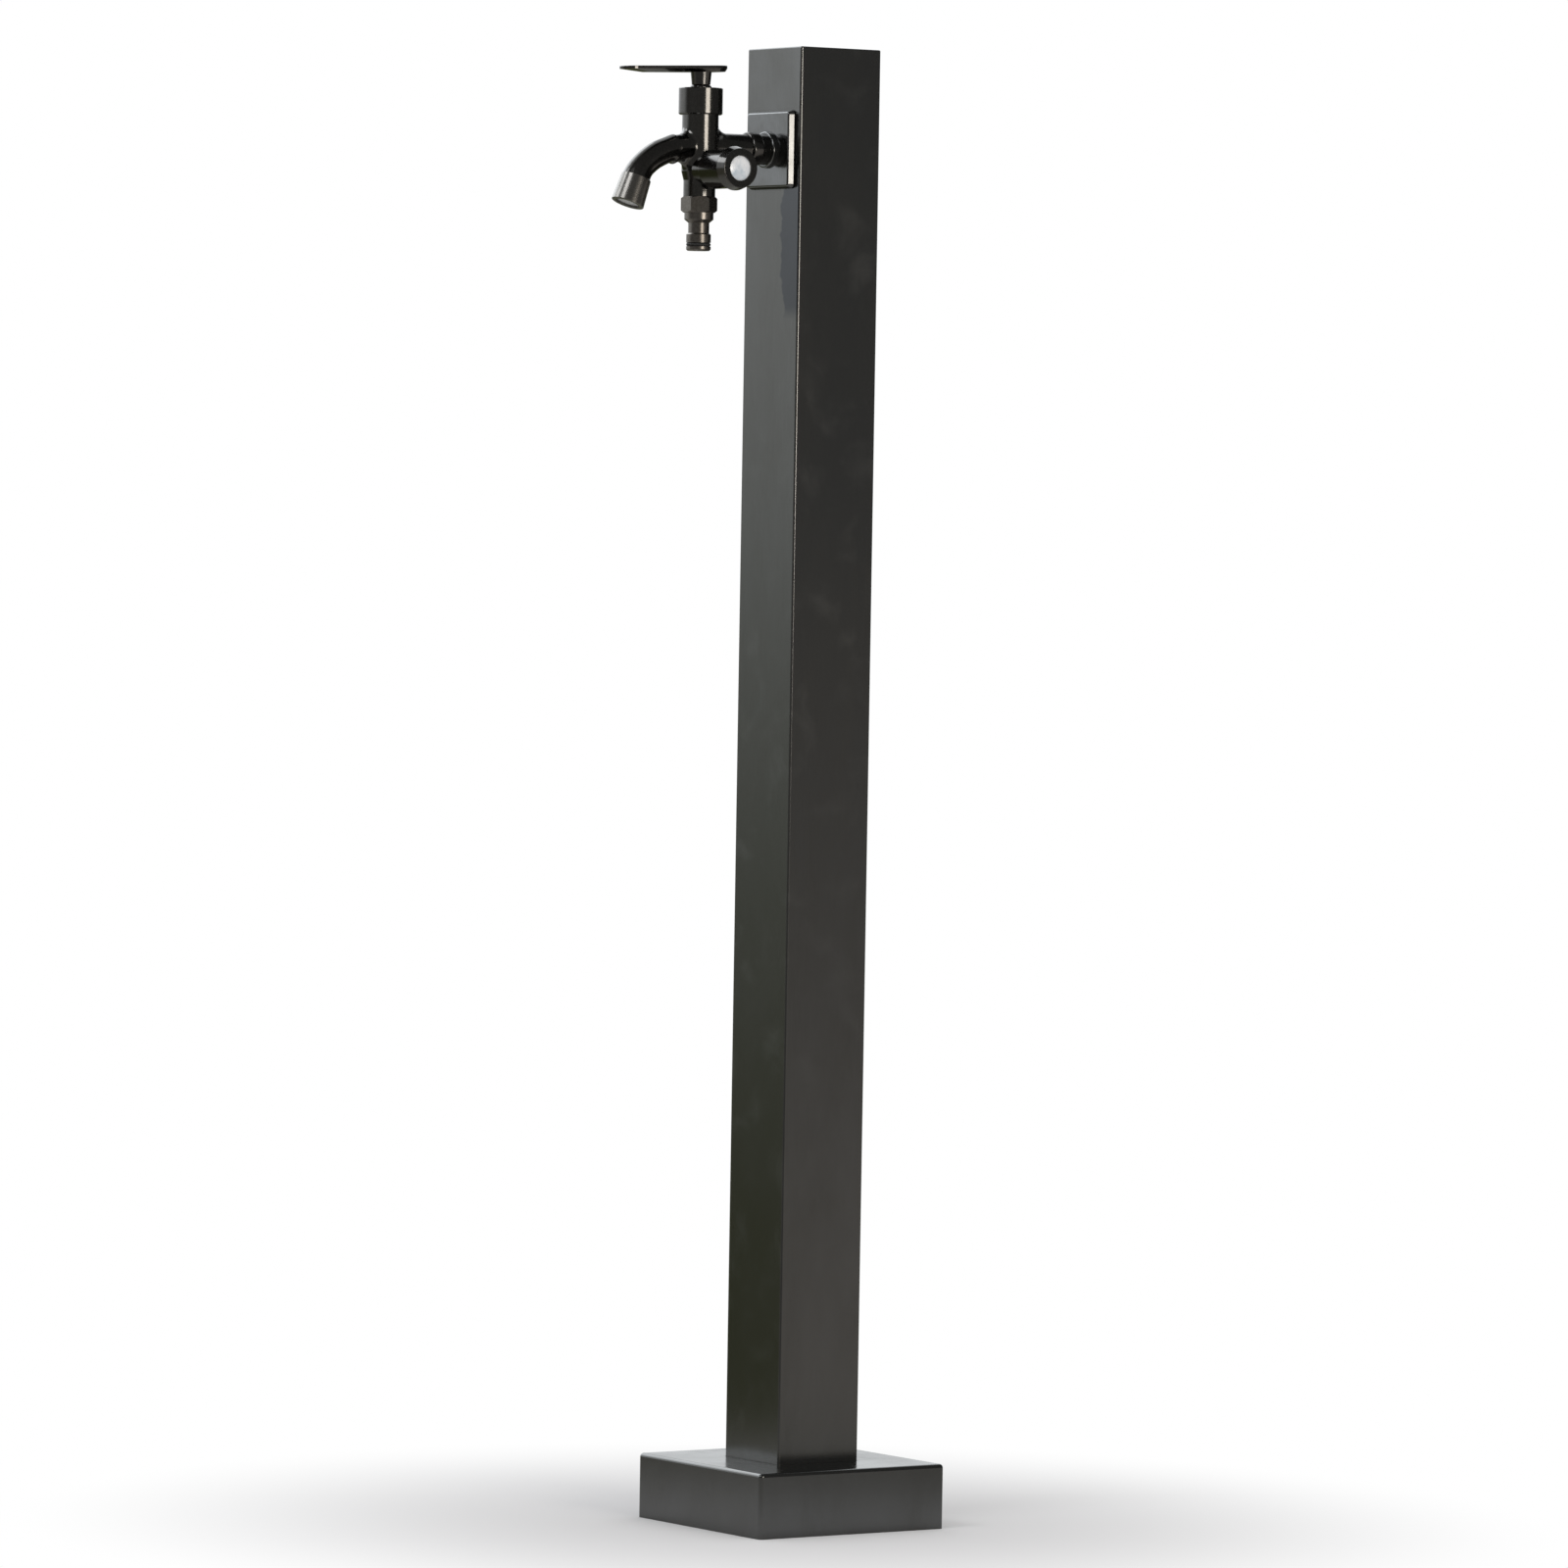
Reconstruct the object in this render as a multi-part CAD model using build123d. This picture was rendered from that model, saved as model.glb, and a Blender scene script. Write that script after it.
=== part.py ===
"""Garden standpipe: a square post on a covered base plate, with a lever tap and a side valve.

Millimetres. The origin is the centre of the base plate's underside, on the ground.
+Z runs up the post, the tap stands out along -Y, and the knob of its side valve points along +X.
Threads are plain cylinders at their working radius.
"""
import os
from math import cos, radians, sin, sqrt, tan

from build123d import *

# Clearances, and how far a cut runs past what it cuts
fit_clearance = 0.1
turning_clearance = 0.08
slide_clearance = 0.4
seat_gap = 0.05
free_gap = 0.3
overrun = 1.0

# Post: square tube with a flush cap
total_height = 1000.0
post_width = 65.0
post_wall = 2.0
post_corner_radius = 1.5
cap_thickness = 3.0
cap_edge_radius = 1.0
cap_spigot_depth = 5.0

# Base plate and the cover that slides down over it
plate_play = 3.0
plate_thickness = 6.0
plate_corner_radius = 8.0
anchor_edge_distance = 15.0
anchor_hole_radius = 5.5
cover_width = 150.0
cover_height = 44.0
cover_wall = 2.0
cover_corner_radius = 3.0
cover_fold_radius = 2.5

# Supply pipe inside the post, and its compression joints
pipe_radius = 7.5
pipe_wall = 1.0
pipe_socket_depth = 9.0
joint_thread_radius = 10.4
joint_thread_length = 10.0
joint_waterway_radius = 6.0
nut_across_flats = 24.0
nut_height = 14.0
nut_roof = 2.5
nut_chamfer = 1.0
olive_radius = 9.4
olive_height = 3.2
olive_bevel = 1.0

# Inlet fitting, welded into the base plate
inlet_collar_radius = 13.4
inlet_recess = 0.5
inlet_bore_radius = 9.3
inlet_bore_length = 15.0
inlet_shoulder_radius = 17.0
inlet_shoulder_height = 3.0
inlet_hex_height = 9.0

# Wall elbow behind the front face of the post
tap_drop = 69.0
elbow_leg_radius = 13.0
elbow_drop = 24.0
elbow_thread_depth = 14.0
elbow_waterway_radius = 6.5
elbow_plate_margin = 6.0
elbow_plate_thickness = 4.0
elbow_plate_corner_radius = 5.0
elbow_screw_radius = 2.5
elbow_screw_head_radius = 4.5
elbow_screw_head_height = 2.6
elbow_screw_socket_radius = 1.6
elbow_screw_play = 0.4
wall_hole_play = 0.8

# Flange and its gasket
flange_width = 52.6
flange_depth = 4.0
flange_draft = 20.0
flange_wall = 1.6
flange_corner_radius = 3.0
flange_edge_radius = 1.3
flange_boss_radius = 12.3
flange_boss_height = 3.0
flange_boss_edge_radius = 1.1
gasket_thickness = 0.8
gasket_inset = 0.6
gasket_band = 3.0

# Tap body: inlet barrel, tower, lower neck and side boss
tap_reach = 59.0
tail_radius = 10.2
tail_engagement = 12.0
shoulder_radius = 11.5
shoulder_length = 9.0
shoulder_edge_radius = 1.6
barrel_radius = 9.8
barrel_length = 36.5
barrel_blend_radius = 8.0
inlet_waterway_radius = 6.5
tower_radius = 12.3
tower_rise = 21.5
tower_depth = 16.5
neck_radius = 10.8
neck_taper_height = 6.0
neck_drop = 33.2
side_drop = 15.4
side_boss_radius = 10.5
side_boss_length = 18.0

# Spout: a leaning straight root, then two tangent arcs that turn it down
spout_rise = 1.0
spout_lean = 8.0
spout_root_length = 20.2
spout_first_turn = 37.0
spout_second_turn = 24.3
spout_first_radius = 45.3
spout_second_radius = 20.85
spout_root_radius = 9.1
spout_waist_radius = 8.7
spout_end_radius = 9.6
spout_blend_radius = 5.5
spout_bore_radius = 5.5
spout_bore_start = 6.2
spout_spigot_radius = 8.0
spout_spigot_length = 8.0
spout_sections = 9

# Nozzle and aerator, measured along the water's way
nozzle_length = 19.0
nozzle_top_radius = 10.15
nozzle_tip_radius = 11.15
nozzle_edge_radius = 0.35
aerator_bore_radius = 9.0
nozzle_lip_radius = 8.2
nozzle_lip_length = 1.5
nozzle_washer_thickness = 1.2
screen_thickness = 0.6
aerator_wall = 1.2
aerator_face = 2.0
aerator_hole_radius = 0.7
aerator_hole_pitch = 2.2
aerator_hole_rings = 3

# Top valve, measured up the tower from the barrel's axis
seat_rise = 8.0
seat_hole_radius = 3.5
valve_chamber_radius = 10.2
seal_radius = 6.2
seal_thickness = 0.7
disc_radius = 7.8
disc_thickness = 2.6
port_radius = 5.6
port_angle = 80.0
port_rib = 2.0
cartridge_radius = 8.9
cartridge_flange_radius = 11.2
cartridge_flange_height = 2.4
cartridge_neck_radius = 6.8
cartridge_neck_height = 3.8
window_width = 8.0
spindle_radius = 4.0
drive_radius = 6.6
drive_height = 4.6
spindle_ring_thickness = 1.2
spindle_ring_offset = 12.0
spline_radius = 3.4
spline_length = 8.2

# Bonnet cap and gland nut
bonnet_radius = 14.85
bonnet_height = 17.9
bonnet_lower_chamfer = 0.8
bonnet_upper_chamfer = 0.4
bonnet_thread_radius = 11.3
bonnet_thread_height = 8.5
gland_radius = 7.0
gland_top_radius = 4.9
gland_rise = 2.0

# Lever
stem_lower_radius = 6.3
stem_upper_radius = 7.1
stem_height = 8.4
lever_thickness = 4.1
lever_droop = 2.3
lever_rim = 1.9
lever_hub_radius = 13.0
lever_hub_offset = 5.5
lever_tip_radius = 8.5
lever_reach = 55.2
underside_hub_radius = 11.8
underside_hub_offset = 5.2
underside_tip_radius = 4.5
underside_reach = 42.0
lever_edge_radius = 0.4
lever_screw_radius = 2.0
lever_screw_length = 2.8
lever_screw_rise = 4.4
lever_screw_socket_radius = 1.0

# Side valve, measured along +X from the tower's axis
side_seat = 7.0
side_chamber_radius = 9.0
side_feed_radius = 2.8
side_seal_radius = 5.6
side_seal_thickness = 0.7
side_disc_radius = 7.0
side_disc_thickness = 2.4
side_port_radius = 5.0
side_cartridge_radius = 8.1
side_hex_across_flats = 19.0
side_hex_length = 4.0
side_neck_radius = 6.8
side_neck_length = 8.0
side_window_width = 7.0
side_spindle_radius = 3.5
side_drive_radius = 5.8
side_drive_height = 3.0
side_ring_thickness = 1.1
side_ring_offset = 8.0

# Knob of the side valve
knob_radius = 13.25
knob_start = 17.6
knob_grip_length = 23.9
knob_wall = 1.6
knob_rear_edge_radius = 1.2
knob_cavity_depth = 18.4
knob_hub_radius = 6.6
knob_groove = 0.9
knob_cap_rear_radius = 14.9
knob_cap_front_radius = 13.2
knob_cap_length = 7.7
knob_cap_edge_radius = 0.5
knob_spigot_radius = 10.4
knob_spigot_length = 5.0
index_radius = 8.35
index_thickness = 2.5
index_crown = 0.8
spindle_cover = 1.5
knob_screw_radius = 1.9
knob_screw_depth = 6.5
knob_screw_head_radius = 3.5
knob_screw_head_height = 2.4
knob_screw_socket_radius = 1.4
screw_socket_depth = 1.2

# Lower outlet and the hose connector, measured down from the neck's end
outlet_bore_radius = 8.3
outlet_bore_depth = 10.0
outlet_passage_radius = 1.7
outlet_passage_offset = 8.4
connector_hex_across_flats = 21.3
connector_hex_height = 10.9
connector_hex_chamfer = 1.7
connector_thread_length = 7.5
connector_step_radius = 9.85
connector_step_height = 4.6
connector_cone_height = 2.3
nipple_neck_radius = 7.1
nipple_neck_height = 6.9
nipple_radius = 8.3
nipple_height = 11.8
nipple_shoulder = 0.9
nipple_end_chamfer = 1.0
nipple_bore_radius = 3.6
nipple_ring_rise = 4.2
nipple_ring_thickness = 2.4
connector_washer_thickness = 1.4
connector_washer_band = 1.4

# Places worked out from the sizes above
tap_height = total_height - tap_drop
plate_width = cover_width - (cover_wall + plate_play) * 2
anchor_spacing = plate_width - anchor_edge_distance * 2
flange_front_width = flange_width - flange_depth * tan(radians(flange_draft)) * 2
gasket_width = flange_width - gasket_inset * 2
gasket_opening = gasket_width - gasket_band * 2
elbow_screw_spacing = gasket_opening - (elbow_screw_head_radius + elbow_screw_play) * 2
elbow_plate_width = elbow_screw_spacing + elbow_plate_margin * 2
post_face = post_width / 2
post_inside = post_face - post_wall
tap_y = -(post_face + tap_reach)
flange_front = post_face + gasket_thickness + flange_depth
barrel_reach = post_face + tap_reach
shoulder_front = barrel_reach - barrel_length
shoulder_back = shoulder_front - shoulder_length
tail_end = post_inside - tail_engagement
joint_bore_radius = joint_thread_radius + fit_clearance
pipe_hole_radius = pipe_radius + fit_clearance
inlet_top = plate_thickness + inlet_shoulder_height + inlet_hex_height + joint_thread_length
elbow_bottom = tap_height - elbow_drop
spout_total_turn = spout_lean + spout_first_turn + spout_second_turn
bonnet_top = tower_rise + bonnet_height
cartridge_shelf = tower_rise + bonnet_thread_height
stem_bottom = bonnet_top + gland_rise + free_gap
stem_top = stem_bottom + stem_height
side_neck_end = side_boss_length + side_hex_length + side_neck_length
grip_end = knob_start + knob_grip_length
spigot_end = grip_end + knob_spigot_length
side_spindle_end = grip_end - spindle_cover
nipple_top = -(connector_hex_height + connector_step_height + connector_cone_height + nipple_neck_height)
nipple_bottom = nipple_top - nipple_height


def rod(radius, bottom, top):
    """Cylinder about Z between two heights."""
    return Pos(0, 0, bottom) * Cylinder(radius, top - bottom, align=(Align.CENTER, Align.CENTER, Align.MIN))


def ring(outer_radius, inner_radius, bottom, top):
    """Tube about Z between two heights."""
    return rod(outer_radius, bottom, top) - rod(inner_radius, bottom - overrun, top + overrun)


def cone(bottom_radius, top_radius, bottom, top):
    """Truncated cone about Z between two heights."""
    shape = Cone(bottom_radius, top_radius, top - bottom, align=(Align.CENTER, Align.CENTER, Align.MIN))
    return Pos(0, 0, bottom) * shape


def square_bar(width, corner_radius, bottom, top):
    """Bar of square section with rounded corners, centred on Z."""
    return Pos(0, 0, bottom) * extrude(RectangleRounded(width, width, corner_radius), top - bottom)


def hexagon(across_flats, bottom, top):
    """Hexagonal bar about Z, with its corners turned towards X."""
    outline = RegularPolygon(across_flats / 2, 6, major_radius=False)
    return Pos(0, 0, bottom) * extrude(outline, top - bottom)


def bevelled_hexagon(across_flats, chamfer_size, bottom, top):
    """Hexagonal bar whose corners are turned off at both ends."""
    corner = across_flats / sqrt(3)
    upper = cone(corner + top - bottom, corner - chamfer_size, bottom, top)
    lower = cone(corner - chamfer_size, corner + top - bottom, bottom, top)
    return hexagon(across_flats, bottom, top) & upper & lower


def o_ring(centre_radius, thickness, height):
    """Rubber ring of round section about Z."""
    return Pos(0, 0, height) * Torus(centre_radius, thickness / 2)


def round_ends(shape, radius, lower=True, upper=True):
    """Round the outer edges at one or both ends of a shape along Z."""
    ends = shape.faces().sort_by(Axis.Z)
    edges = ShapeList()
    if lower:
        edges += ends[0].outer_wire().edges()
    if upper:
        edges += ends[-1].outer_wire().edges()
    return fillet(edges, radius)


def along_barrel(shape):
    """Place a shape whose +Z runs forward from the post's axis, at the height of the tap."""
    return Pos(0, 0, tap_height) * Rot(90, 0, 0) * shape


def on_tower(shape):
    """Place a shape whose heights are counted from the barrel's axis, on the tower's axis."""
    return Pos(0, tap_y, tap_height) * shape


def on_side_valve(shape):
    """Place a shape whose +Z runs along +X from the tower's axis, at the side valve's height."""
    return Pos(0, tap_y, tap_height - side_drop) * Rot(0, 90, 0) * shape


def under_neck(shape):
    """Place a shape whose heights are counted from the end of the lower neck."""
    return Pos(0, tap_y, tap_height - neck_drop) * shape


# Post and base

def make_post_tube():
    top = total_height - cap_thickness
    outer = square_bar(post_width, post_corner_radius, plate_thickness, top)
    inner_corner_radius = max(post_corner_radius - post_wall, seat_gap)
    hollow = square_bar(post_inside * 2, inner_corner_radius, plate_thickness - overrun, top + overrun)
    tail_hole = rod(tail_radius + wall_hole_play, post_inside - overrun, post_face + overrun)
    screw_holes = elbow_screw_pattern(
        rod(elbow_screw_radius + fit_clearance, post_inside - overrun, post_face + overrun)
    )
    return outer - hollow - along_barrel(tail_hole) - [along_barrel(hole) for hole in screw_holes]


def make_top_cap():
    bottom = total_height - cap_thickness
    lid = square_bar(post_width, post_corner_radius, bottom, total_height)
    lid = round_ends(lid, cap_edge_radius, lower=False)
    spigot_width = (post_inside - fit_clearance) * 2
    spigot_bottom = bottom - cap_spigot_depth
    spigot = square_bar(spigot_width, post_corner_radius, spigot_bottom, bottom)
    relief = square_bar(spigot_width - cap_thickness * 2, post_corner_radius, spigot_bottom, bottom)
    return lid + (spigot - relief)


def make_base_plate():
    plate = square_bar(plate_width, plate_corner_radius, 0, plate_thickness)
    anchor_hole = rod(anchor_hole_radius, -overrun, plate_thickness + overrun)
    supply_hole = rod(inlet_collar_radius + fit_clearance, -overrun, plate_thickness + overrun)
    holes = [place * anchor_hole for place in GridLocations(anchor_spacing, anchor_spacing, 2, 2)]
    return plate - holes - supply_hole


def make_base_cover():
    outer = square_bar(cover_width, cover_corner_radius, 0, cover_height)
    outer = round_ends(outer, cover_fold_radius, lower=False)
    inside_width = cover_width - cover_wall * 2
    inside = square_bar(inside_width, cover_corner_radius - cover_wall, -overrun, cover_height - cover_wall)
    inside = round_ends(inside, cover_fold_radius - cover_wall, lower=False)
    opening = square_bar(
        post_width + slide_clearance * 2, post_corner_radius + slide_clearance, 0, cover_height + overrun
    )
    return outer - inside - opening


# Supply line

def make_supply_pipe():
    bottom = inlet_top - pipe_socket_depth + free_gap
    top = elbow_bottom + pipe_socket_depth - free_gap
    return ring(pipe_radius, pipe_radius - pipe_wall, bottom, top)


def make_inlet_fitting():
    shoulder_top = plate_thickness + inlet_shoulder_height
    hex_top = shoulder_top + inlet_hex_height
    body = rod(inlet_collar_radius, inlet_recess, plate_thickness)
    body += rod(inlet_shoulder_radius, plate_thickness, shoulder_top)
    body += hexagon(nut_across_flats, shoulder_top, hex_top)
    body += rod(joint_thread_radius, hex_top, inlet_top)
    body -= rod(inlet_bore_radius, 0, inlet_recess + inlet_bore_length)
    body -= rod(joint_waterway_radius, 0, inlet_top)
    return body - rod(pipe_hole_radius, inlet_top - pipe_socket_depth, inlet_top + overrun)


def pipe_nut():
    """Compression nut that opens downwards, with the end of the joint's thread at height zero."""
    bottom = olive_height + nut_roof - nut_height
    top = olive_height + nut_roof
    nut = bevelled_hexagon(nut_across_flats, nut_chamfer, bottom, top)
    nut -= rod(joint_bore_radius, bottom - overrun, olive_height)
    return nut - rod(pipe_hole_radius, bottom, top + overrun)


def pipe_olive():
    """Brass ring round the pipe, between the end of the joint's thread and the nut's roof."""
    body = ring(olive_radius, pipe_hole_radius, seat_gap, olive_height - seat_gap)
    return chamfer(body.faces().sort_by(Axis.Z)[0].outer_wire().edges(), olive_bevel)


def at_both_joints(shape):
    """Place a shape on the inlet's joint and, turned over, on the elbow's joint."""
    upper = Pos(0, 0, elbow_bottom) * Rot(180, 0, 0) * shape
    return Compound([Pos(0, 0, inlet_top) * shape, upper])


def make_pipe_nuts():
    return at_both_joints(pipe_nut())


def make_pipe_olives():
    return at_both_joints(pipe_olive())


# Wall elbow and its screws

def elbow_screw_pattern(shape):
    """Two copies of a shape, one at each screw of the elbow, in opposite corners under the flange."""
    offset = elbow_screw_spacing / 2
    return [Pos(offset, offset, 0) * shape, Pos(-offset, -offset, 0) * shape]


def make_wall_elbow():
    leg = rod(elbow_leg_radius, 0, post_inside)
    plate_back = post_inside - elbow_plate_thickness
    plate = square_bar(elbow_plate_width, elbow_plate_corner_radius, plate_back, post_inside)
    forward = along_barrel(leg + plate)
    root = elbow_bottom + joint_thread_length
    downward = rod(elbow_leg_radius, root, tap_height) + rod(joint_thread_radius, elbow_bottom, root)
    body = forward + downward + Pos(0, 0, tap_height) * Sphere(elbow_leg_radius)
    thread_bottom = post_inside - elbow_thread_depth
    body -= along_barrel(rod(tail_radius + fit_clearance, thread_bottom, post_inside + overrun))
    body -= along_barrel(rod(elbow_waterway_radius, 0, post_inside))
    body -= rod(elbow_waterway_radius, elbow_bottom, tap_height)
    body -= rod(pipe_hole_radius, elbow_bottom - overrun, elbow_bottom + pipe_socket_depth)
    hole = rod(elbow_screw_radius + fit_clearance, plate_back - overrun, post_inside + overrun)
    return body - [along_barrel(copy) for copy in elbow_screw_pattern(hole)]


def make_elbow_screws():
    head = rod(elbow_screw_head_radius, post_face, post_face + elbow_screw_head_height)
    head = round_ends(head, elbow_screw_head_height / 2, lower=False)
    shank = rod(elbow_screw_radius, post_inside - elbow_plate_thickness, post_face)
    socket = rod(elbow_screw_socket_radius, post_face + elbow_screw_head_height / 3, post_face + flange_depth)
    screw = head + shank - socket
    return Compound([along_barrel(copy) for copy in elbow_screw_pattern(screw)])


# Flange on the front face of the post

def make_flange_gasket():
    outer = square_bar(gasket_width, flange_corner_radius, post_face, post_face + gasket_thickness)
    opening = square_bar(gasket_opening, flange_corner_radius, post_face - overrun, flange_front)
    return along_barrel(outer - opening)


def make_flange():
    back = post_face + gasket_thickness
    outline = RectangleRounded(flange_width, flange_width, flange_corner_radius)
    plate = Pos(0, 0, back) * extrude(outline, flange_depth, taper=flange_draft)
    plate = round_ends(plate, flange_edge_radius, lower=False)
    boss = rod(flange_boss_radius, flange_front, flange_front + flange_boss_height)
    boss = round_ends(boss, flange_boss_edge_radius, lower=False)
    hollow_width = flange_front_width - flange_wall * 2
    hollow_top = flange_front - flange_wall
    hollow = square_bar(hollow_width, flange_corner_radius - flange_wall, back - overrun, hollow_top)
    tail_hole = rod(tail_radius + fit_clearance, back, flange_front + flange_boss_height + overrun)
    return along_barrel(plate + boss - hollow - tail_hole)


# Tap body

def spout_place(turn):
    """Place on the spout's centre line, at a turn in degrees below level, with +Z along the flow."""
    start = radians(spout_lean)
    middle = radians(spout_lean + spout_first_turn)
    first = min(radians(turn), middle)
    second = max(radians(turn), middle)
    forward = spout_root_length * cos(start) + spout_first_radius * (sin(first) - sin(start))
    forward += spout_second_radius * (sin(second) - sin(middle))
    down = spout_root_length * sin(start) + spout_first_radius * (cos(start) - cos(first))
    down += spout_second_radius * (cos(middle) - cos(second))
    return Pos(0, tap_y - forward, tap_height + spout_rise - down) * Rot(90 + turn, 0, 0)


def spout_outer_radius(share):
    """Radius of the spout at a share of its turn: it narrows from the root and widens to the nozzle."""
    end_radius = spout_root_radius if share < 0.5 else spout_end_radius
    return spout_waist_radius + (end_radius - spout_waist_radius) * (1 - 2 * share) ** 2


def spout_bend(radii):
    """Round bar round the spout's bend, with its radii given in even steps from the root to the nozzle."""
    step = (spout_total_turn - spout_lean) / (spout_sections - 1)
    places = [spout_place(spout_lean + step * number) for number in range(spout_sections)]
    return loft([place * Circle(radius) for place, radius in zip(places, radii)])


def on_spout_root(shape):
    """Place a shape whose +Z runs out along the spout's root from the tower's axis."""
    return Pos(0, tap_y, tap_height + spout_rise) * Rot(90 + spout_lean, 0, 0) * shape


def on_nozzle(shape):
    """Place a shape whose +Z runs along the water's way from the end of the spout."""
    return spout_place(spout_total_turn) * shape


def blend(shape, addition, radius):
    """Join a shape to another, with a fillet where their skins meet."""
    joined = shape + addition
    return fillet(new_edges(shape, addition, combined=joined), radius)


def make_casting():
    """Outer form of the tap body."""
    taper_bottom = -(tower_depth + neck_taper_height)
    column = rod(tower_radius, -tower_depth, tower_rise)
    column += cone(neck_radius, tower_radius, taper_bottom, -tower_depth)
    column += rod(neck_radius, -neck_drop, taper_bottom)
    barrel = along_barrel(rod(barrel_radius, shoulder_front, barrel_reach))
    casting = blend(on_tower(column), barrel, barrel_blend_radius)
    casting = blend(casting, on_spout_root(rod(spout_root_radius, 0, spout_root_length)), spout_blend_radius)
    shares = [number / (spout_sections - 1) for number in range(spout_sections)]
    casting += spout_bend([spout_outer_radius(share) for share in shares])
    casting += on_nozzle(rod(spout_spigot_radius, 0, spout_spigot_length))
    shoulder = rod(shoulder_radius, shoulder_back, shoulder_front)
    casting += along_barrel(round_ends(shoulder, shoulder_edge_radius))
    casting += along_barrel(rod(tail_radius, tail_end, shoulder_back))
    casting += on_tower(rod(bonnet_thread_radius, tower_rise, cartridge_shelf))
    return casting + on_side_valve(rod(side_boss_radius, 0, side_boss_length))


def make_tap_body():
    body = make_casting()
    # Water comes in along the barrel and rises through the seat of the top valve
    waterway_end = barrel_reach + seat_hole_radius + overrun
    body -= along_barrel(rod(inlet_waterway_radius, tail_end - overrun, waterway_end))
    body -= on_tower(rod(seat_hole_radius, 0, seat_rise + overrun))
    chamber_top = top_valve.drive_top + overrun
    body -= on_tower(rod(valve_chamber_radius, seat_rise, chamber_top))
    body -= on_tower(rod(cartridge_radius + fit_clearance, chamber_top - overrun, cartridge_shelf + overrun))
    # It leaves the chamber through a crescent at the front, into the spout
    crescent = ring(valve_chamber_radius, disc_radius, 0, seat_rise + overrun)
    width = valve_chamber_radius
    front = Box(width, width, seat_rise * 2 + overrun, align=(Align.CENTER, Align.MAX, Align.MIN))
    body -= on_tower(crescent & front)
    body -= on_spout_root(rod(spout_bore_radius, spout_bore_start, spout_root_length))
    body -= spout_bend([spout_bore_radius] * spout_sections)
    body -= on_nozzle(rod(spout_bore_radius, 0, spout_spigot_length + overrun))
    # A second way leads down to the side valve, and from there to the lower outlet
    body -= on_tower(rod(side_feed_radius, -side_drop, 0))
    body -= on_side_valve(rod(side_feed_radius, 0, side_seat + overrun))
    side_chamber_end = side_valve.drive_top + free_gap
    body -= on_side_valve(rod(side_chamber_radius, side_seat, side_chamber_end))
    side_guide_radius = side_cartridge_radius + fit_clearance
    body -= on_side_valve(rod(side_guide_radius, side_chamber_end - free_gap, side_boss_length + overrun))
    body -= under_neck(rod(outlet_bore_radius, -overrun, outlet_bore_depth))
    body -= under_neck(rod(outlet_bore_radius + connector_washer_band, -overrun, connector_washer_thickness))
    passage = rod(outlet_passage_radius, outlet_bore_depth - overrun, neck_drop - side_drop)
    return body - under_neck(Pos(outlet_passage_offset, 0, 0) * passage)


# Quarter-turn valves

class Valve:
    """Sizes of one valve, with heights counted along its spindle from the seat."""

    def __init__(self, seat, seal_height, disc_height, drive):
        self.seat = seat
        self.seal_top = seat + seal_height
        self.fixed_top = self.seal_top + disc_height
        self.moving_bottom = self.fixed_top + seat_gap
        self.moving_top = self.moving_bottom + disc_height
        self.drive_bottom = self.moving_top + seat_gap
        self.drive_top = self.drive_bottom + drive
        self.cavity_top = self.drive_top + seat_gap


top_valve = Valve(seat_rise, seal_thickness, disc_thickness, drive_height)
side_valve = Valve(side_seat, side_seal_thickness, side_disc_thickness, side_drive_height)


def ported_disc(radius, opening_radius, bottom, top):
    """Ceramic disc with two opposite ports, each less than a quarter of the turn wide."""
    slope = tan(radians(port_angle / 2))
    wedge = make_face(Polyline((0, 0), (radius, -radius * slope), (radius, radius * slope), close=True))
    port = Pos(0, 0, bottom - overrun) * extrude(wedge, top - bottom + overrun * 2)
    port &= rod(opening_radius, bottom - overrun, top + overrun)
    port -= rod(port_rib, bottom - overrun * 2, top + overrun * 2)
    return rod(radius, bottom, top) - port - Rot(0, 0, 180) * port


def cartridge_barrel(valve, outer_radius, inner_radius, width, end):
    """Sleeve of a cartridge round its discs, with a window on each side of the drive."""
    sleeve = ring(outer_radius, inner_radius, valve.seat, valve.cavity_top)
    window = Pos(0, 0, valve.drive_bottom) * Box(
        width, (outer_radius + overrun) * 2, valve.drive_top - valve.drive_bottom,
        align=(Align.CENTER, Align.CENTER, Align.MIN)
    )
    return sleeve - window + rod(outer_radius, valve.cavity_top, end)


def grooved(shaft, radius, thickness, height):
    """Cut the seat of a spindle ring into a shaft."""
    floor = radius - thickness - fit_clearance
    half = thickness / 2 + fit_clearance
    return shaft - ring(radius + overrun, floor, height - half, height + half)


def make_main_cartridge():
    pocket_radius = disc_radius + fit_clearance
    body = cartridge_barrel(top_valve, cartridge_radius, pocket_radius, window_width, cartridge_shelf)
    flange_top = cartridge_shelf + cartridge_flange_height
    body += rod(cartridge_flange_radius, cartridge_shelf, flange_top)
    body += rod(cartridge_neck_radius, flange_top, flange_top + cartridge_neck_height)
    guide = rod(spindle_radius + turning_clearance, top_valve.cavity_top - overrun, bonnet_top)
    return on_tower(body - guide)


def make_main_spindle():
    body = rod(drive_radius, top_valve.drive_bottom, top_valve.drive_top)
    body += rod(spindle_radius, top_valve.drive_top, stem_bottom - seat_gap)
    body += rod(spline_radius, stem_bottom - seat_gap, stem_bottom + spline_length)
    return on_tower(
        grooved(body, spindle_radius, spindle_ring_thickness, top_valve.drive_top + spindle_ring_offset)
    )


def make_main_spindle_ring():
    height = top_valve.drive_top + spindle_ring_offset
    return on_tower(o_ring(spindle_radius - spindle_ring_thickness / 2, spindle_ring_thickness, height))


def make_main_fixed_disc():
    return on_tower(ported_disc(disc_radius, port_radius, top_valve.seal_top, top_valve.fixed_top))


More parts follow.
